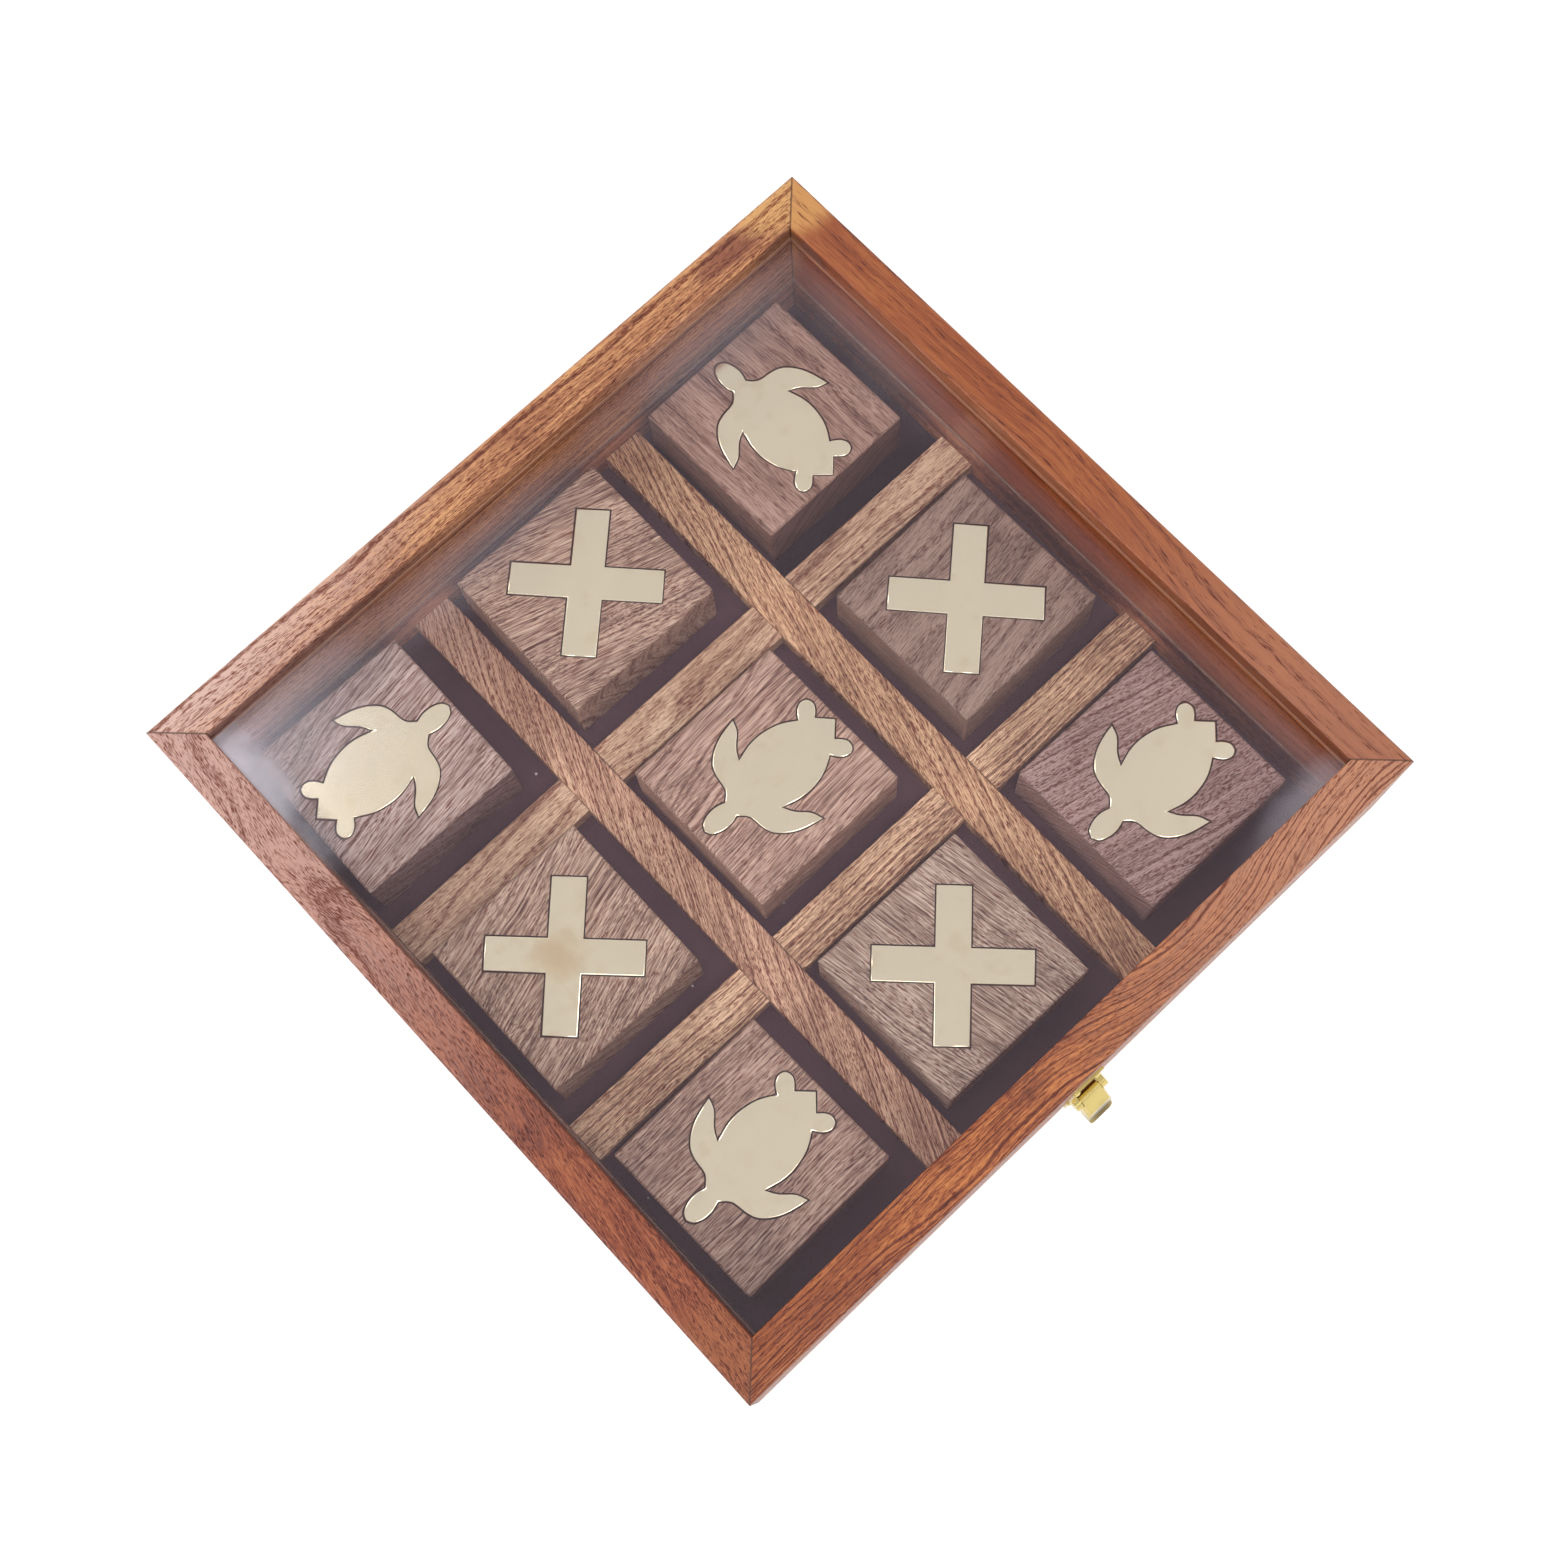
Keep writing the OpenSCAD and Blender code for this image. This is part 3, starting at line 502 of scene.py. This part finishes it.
# Painted shade in front of and beside the back right block.
for middle, radii, most in painted_shade_patches:
    away = reach(tree, place, middle, radii)
    shaded = add(tree, "ShaderNodeMapRange", smooth, [away, 1.1, 0.6, 0, most])
    shade = add(tree, "ShaderNodeMix", {"data_type": "RGBA"}, [shaded, shade, linear("#1c1218")])
specks = add(
    tree, "ShaderNodeTexVoronoi", {}, {"Vector": place, "Scale": 1 / (speck_spacing * MM)}
).outputs
speck = add(tree, "ShaderNodeMapRange", smooth, [specks["Distance"], 0.05, 0.02, 0, 0.8])
dust_and_reflection = add(tree, "ShaderNodeMix", {"data_type": "RGBA"}, [speck, shade, linear("#cfc6c4")])
pile = add(tree, "ShaderNodeBump", {}, {"Strength": 0.01, "Distance": 0.02 * MM, "Height": fibre})
flock = add(
    tree,
    "ShaderNodeBsdfPrincipled",
    {},
    {
        "Base Color": dust_and_reflection,
        "Roughness": 0.9,
        "Specular IOR Level": 0.2,
        "Sheen Weight": 0.05,
        "Normal": pile,
    },
)
add(tree, "ShaderNodeOutputMaterial", {}, {"Surface": flock})
finish_node("floor_lining", lining)


# The dividers. Four planed strips of paler sheesham, half-lapped where they cross, the two long
# ones on top, and glued down on the lining. Their grain is short and flecked.
dividers = {
    "left": dict(
        turn=(0, 3.0, 66), pith=(-60, 300, -14), ring=0.7, lines=0.2, pores=0.75,
        tones=("#946447", "#bf9074", "#ddb292"),
        patches=[
            ((-32, 64, 9), (8, 14, 20), "#a0694c", 0.3, 0.3),
            ((-32, 88, 9), (8, 18, 20), "#cfa893", 0.5, 0.5),
        ],
    ),
    "right": dict(
        turn=(0, -2.2, 74), pith=(48, -400, -9), ring=0.9, lines=0.15, pores=0.8,
        tones=("#9e6e4b", "#cb9b75", "#e6bc93"),
    ),
    "front": dict(
        turn=(0, 1.2, 0.6), pith=(520, -45, -16), ring=0.5, lines=0.35, pores=0.7,
        tones=("#895c43", "#d3a884", "#f2cca9"),
    ),
    "back": dict(
        turn=(0, 1.5, -0.8), pith=(-480, 50, -12), ring=0.6, lines=0.3, pores=0.55,
        tones=("#936648", "#c59c7f", "#e2bf9f"),
    ),
}
for side, grain in dividers.items():
    wood = sheesham(f"planed_sheesham_{side}_divider", roughness=0.5, **grain)
    finish_node(f"divider_{side}", wood)


# The blocks. Nine sheesham offcuts, sanded with softened edges, each from another piece of wood, so
# the grain, the tone and the figure differ from block to block and run on down their sides. Glue
# stains the walls of the pocket that holds the brass. A pith is given from the block's middle.
blocks = {
    "back_left": dict(
        turn=(0, 3, 8), pith=(0, 40, -22), ring=0.6, lines=0.15, pores=0.75, dash=4,
        tones=("#84675c", "#af948a", "#cbb1aa"),
    ),
    "back_middle": dict(
        turn=(0, 4, -16), pith=(300, -36, -18), ring=0.6, lines=0.25, pores=0.75, dash=6,
        tones=("#6e4d3d", "#a58472", "#c7a993"),
    ),
    "back_right": dict(
        turn=(0, 1, 92), pith=(40, 0, -50), ring=1.4, lines=0.05, pores=0.4, dash=3,
        tones=("#6e4c3e", "#967263", "#af8c7d"),
    ),
    "middle_left": dict(
        turn=(0, 6, 16), pith=(-200, 30, -26), ring=0.6, lines=0.35, pores=0.75, dash=6,
        tones=("#6d4e3e", "#a48571", "#c6a994"),
    ),
    "centre": dict(
        turn=(0, 3, 3), pith=(100, 34, -24), ring=0.5, lines=0.4, pores=0.5, dash=6,
        tones=("#6d4b3b", "#a3806f", "#c6a391"),
    ),
    "middle_right": dict(
        turn=(0, 2, 8), pith=(-300, -40, -40), ring=0.8, lines=0.1, pores=0.45, dash=2,
        tones=("#664a3e", "#866a5c", "#9a7e71"),
    ),
    "front_left": dict(
        turn=(0, 3, 2), pith=(400, -34, -20), ring=0.6, lines=0.15, pores=0.65, dash=3,
        tones=("#664738", "#9b7969", "#ba9b89"),
    ),
    "front_middle": dict(
        turn=(0, 5, 99), pith=(30, 500, -16), ring=0.4, lines=0.35, pores=0.65, dash=5,
        tones=("#6b5041", "#a08677", "#c2ab9a"),
    ),
    "front_right": dict(
        turn=(0, 2, -12), pith=(-500, 42, -34), ring=0.8, lines=0.1, pores=0.85, dash=1.2,
        tones=("#7b5d54", "#9a7b74", "#ae8f8a"),
    ),
}
# Painted shade on the sides of two blocks, below a line just under the top.
painted_side_shade = {"back_left": "#c4bcc0", "back_right": "#b0a8ac"}
shade_below_top = 0.6
glue_below_top = 1.05
glue_half_size = (20.85, 20.85, 1)
for cell, grain in blocks.items():
    low, high = [[c / MM for c in corner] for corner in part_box(f"block_{cell}")]
    middle = [(a + b) / 2 for a, b in zip(low, high)]
    grain["pith"] = [m + p for m, p in zip(middle, grain["pith"])]
    if cell in painted_side_shade:
        grain["sides"] = (high[2] - shade_below_top, painted_side_shade[cell])
    glue = ((middle[0], middle[1], high[2] - glue_below_top), glue_half_size)
    wood = sheesham(f"sanded_sheesham_{cell}", glue=glue, roughness=0.48, **grain)
    finish_node(f"block_{cell}", wood)


# The figures. Turtles and crosses cut from sheet brass, glued into the blocks and polished there,
# which rounds their rims and leaves their faces slightly wavy, with a few brown spots of tarnish.
swell_size = 16
spot_size = 5


def polished_brass(name, pale, tarnish_and_shade_colour, wave, roughness, tarnish_and_shade_spots=()):
    """Brass with the lacquer-free shine of a buffed sheet. wave is the height of its unevenness in
    mm. A dark spot is a middle, a radius in mm and how thick the dark colour lies there: tarnish
    on a figure, painted shade on the latch's lip."""
    brass, tree = new_material(name)
    place = add(tree, "ShaderNodeTexCoord").outputs["Object"]
    swell = add(
        tree,
        "ShaderNodeTexNoise",
        {},
        {"Vector": place, "Scale": 1 / (swell_size * MM), "Detail": 0},
    )
    spots = add(
        tree,
        "ShaderNodeTexNoise",
        {},
        {"Vector": place, "Scale": 1 / (spot_size * MM), "Detail": 3},
    )
    cover = add(tree, "ShaderNodeMapRange", smooth, [spots, 0.5, 0.75, 0, 0.12])
    for middle, radius, most in tarnish_and_shade_spots:
        away = reach(tree, place, middle, [radius] * 3)
        away = add(tree, "ShaderNodeMath", {"operation": "ADD"}, [away, spots])
        near = add(tree, "ShaderNodeMapRange", smooth, [away, 1.8, 0.6, 0, most])
        cover = add(tree, "ShaderNodeMath", {"operation": "MAXIMUM"}, [cover, near])
    tint = add(tree, "ShaderNodeMix", {"data_type": "RGBA"}, [cover, linear(pale), linear(tarnish_and_shade_colour)])
    dull = add(tree, "ShaderNodeMath", {"operation": "MULTIPLY_ADD"}, [cover, 0.05, roughness])
    relief = add(
        tree, "ShaderNodeBump", {}, {"Strength": 1, "Distance": wave * MM, "Height": swell}
    )
    metal = add(
        tree,
        "ShaderNodeBsdfPrincipled",
        {},
        {"Base Color": tint, "Metallic": 1, "Roughness": dull, "Normal": relief},
    )
    add(tree, "ShaderNodeOutputMaterial", {}, {"Surface": metal})
    return brass


def round_off(name, body, radius, material):
    """Puts a copy of a CAD node in its place, with the rims of its top rounded by a radius."""
    merged_within = 0.002 * MM
    flat_within = math.radians(1)
    top_within = 0.01 * MM
    mesh = nodes[name].data.copy()
    mesh.name = f"polished_{name}"
    shape = bmesh.new()
    shape.from_mesh(mesh)
    bmesh.ops.remove_doubles(shape, verts=shape.verts, dist=merged_within)
    bmesh.ops.dissolve_limit(shape, angle_limit=flat_within, verts=shape.verts, edges=shape.edges)
    top = max(vertex.co.z for vertex in shape.verts) - top_within
    rims = [edge for edge in shape.edges if all(vertex.co.z > top for vertex in edge.verts)]
    rounded = bmesh.ops.bevel(
        shape,
        geom=rims,
        offset=radius,
        segments=4,
        profile=0.5,
        affect="EDGES",
        clamp_overlap=False,
    )["faces"]
    for face in shape.faces:
        face.smooth = face in rounded
        face.material_index = 0
    shape.to_mesh(mesh)
    shape.free()
    mesh.materials.clear()
    mesh.materials.append(material)
    piece = bpy.data.objects.new(mesh.name, mesh)
    bpy.context.scene.collection.objects.link(piece)
    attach(piece, body)
    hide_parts(name)


rim_radius = 0.3 * MM
inlay_brass = polished_brass(
    "buffed_sheet_brass", pale="#ecddc4", tarnish_and_shade_colour="#c79b5c", wave=0.03, roughness=0.13,
    tarnish_and_shade_spots=[((-66.5, 2.5, 23.4), 7, 0.45)],
)
figures = [name for name in nodes if name.startswith(("turtle_", "cross_"))]
for name in figures:
    cell = name.split("_", 1)[1]
    round_off(name, f"piece_{cell}", rim_radius, inlay_brass)


# The hinges. Two narrow butt hinges of plain rolled brass, let into the back wall and rail, with
# their pins riveted in and four countersunk slotted screws each. The metal is a deeper yellow than
# the figures and only satin smooth.
hinge_brass = polished_brass(
    "rolled_brass", pale="#e6cf93", tarnish_and_shade_colour="#a07d45", wave=0.1, roughness=0.3
)
for name in nodes:
    if name.startswith("hinge_"):
        finish_node(name, hinge_brass)


# The latch. A small hasp pressed from thin brass, with its plate on the lid and its keeper on the
# tray, all bright-plated yellow and pinned to the wood with round-headed nails. Its lip is darker
# with painted shade.
latch_brass = polished_brass(
    "bright_plated_brass", pale="#dfc982", tarnish_and_shade_colour="#6f5a28", wave=0.1, roughness=0.2,
    tarnish_and_shade_spots=[((0, -109.5, 14.5), 5.5, 1.0)],
)
for name in nodes:
    if name.startswith("latch_"):
        finish_node(name, latch_brass)


# The glass. A pane of plain float glass held in the rails' grooves: clear, with the room's light
# on it as a thin veil over everything in the box. A pale film is painted on it as a painted
# reflection of the room's light, thick in the back left corner, thin in the front right one and
# faint along the back and in the back right one.

# Each patch of the painted reflection is a middle, radii and a thickness.
painted_reflection_patches = (
    ((-99, 84, 39), (20, 40, 2), 0.95),
    ((-84, 88, 39), (44, 36, 2), 0.18),
    ((80, -97, 39), (26, 12, 2), 0.4),
    ((62, 94, 39), (50, 26, 2), 0.09),
    ((95, 60, 39), (22, 50, 2), 0.06),
    ((-22, 83, 39), (48, 11, 2), 0.07),
)
wisp_size = 11
pane, tree = new_material("float_glass")
shadow = add(tree, "ShaderNodeLightPath").outputs["Is Shadow Ray"]
solid_glass = add(
    tree,
    "ShaderNodeBsdfPrincipled",
    {},
    {
        "Base Color": (1, 1, 1, 1),
        "Roughness": 0.0,
        "IOR": 1.45,
        "Transmission Weight": 1.0,
        "Specular Tint": linear("#ffe7f6"),
    },
)
clear = add(tree, "ShaderNodeBsdfTransparent", {}, {"Color": linear("#f8f8f8")})
either = add(tree, "ShaderNodeMixShader", {}, [shadow, solid_glass, clear])
place = add(tree, "ShaderNodeTexCoord").outputs["Object"]
wisps = add(
    tree, "ShaderNodeTexNoise", {}, {"Vector": place, "Scale": 1 / (wisp_size * MM), "Detail": 3}
)
reflection_haze = 0
for middle, radii, most in painted_reflection_patches:
    away = reach(tree, place, middle, radii)
    away = add(tree, "ShaderNodeMath", {"operation": "MULTIPLY_ADD"}, [wisps, 0.5, away])
    thick = add(tree, "ShaderNodeMapRange", smooth, [away, 1.35, 0.35, 0, most])
    reflection_haze = add(tree, "ShaderNodeMath", {"operation": "MAXIMUM"}, [thick, reflection_haze])
# The pale film is a painted reflection of the room's light, mixed over the glass.
painted_shine = add(tree, "ShaderNodeBsdfDiffuse", {}, {"Color": linear("#ecebf6")})
dust_and_reflection = add(tree, "ShaderNodeMixShader", {}, [reflection_haze, either, painted_shine])
add(tree, "ShaderNodeOutputMaterial", {}, {"Surface": dust_and_reflection})
finish_node("glass_panel", pane)
